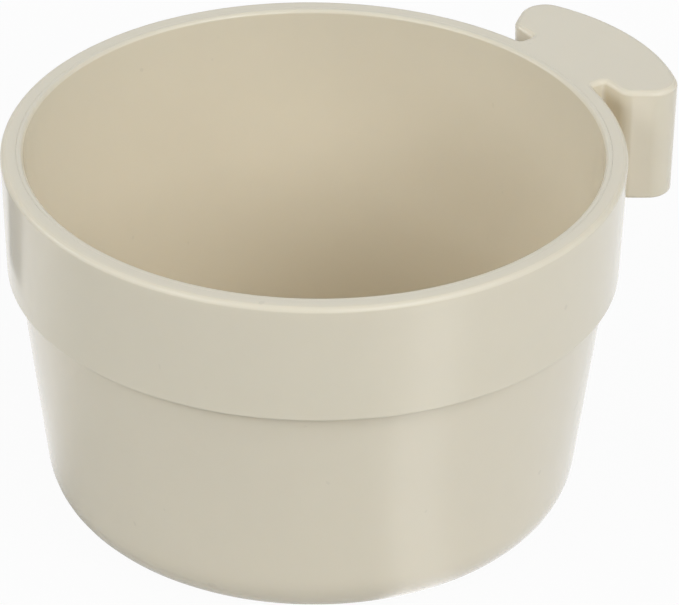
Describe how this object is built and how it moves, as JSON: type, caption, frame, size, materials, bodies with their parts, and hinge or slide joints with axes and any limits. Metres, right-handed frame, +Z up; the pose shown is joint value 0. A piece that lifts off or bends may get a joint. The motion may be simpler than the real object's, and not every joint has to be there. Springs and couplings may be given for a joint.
{
  "type": "seed cup",
  "caption": "Round seed cup with a flat thick rim, a stepped collar and a tapered bowl, hung by a mushroom-shaped lug that slides down into a bracket.",
  "frame": {"origin": "centre of the bowl's flat base, on the axis of the cup", "axes": "+Z up along the axis of the cup, +Y from the axis towards the hanging lug, +X to the right when the cup is seen from the front with its lug behind"},
  "size_m": [0.1016, 0.1172, 0.064],
  "materials": {
    "beige_plastic": "glossy moulded plastic, cream beige"
  },
  "bodies": {
    "root": {"bowl": "beige_plastic", "hanger_collar": "beige_plastic"}
  },
  "joints": []
}
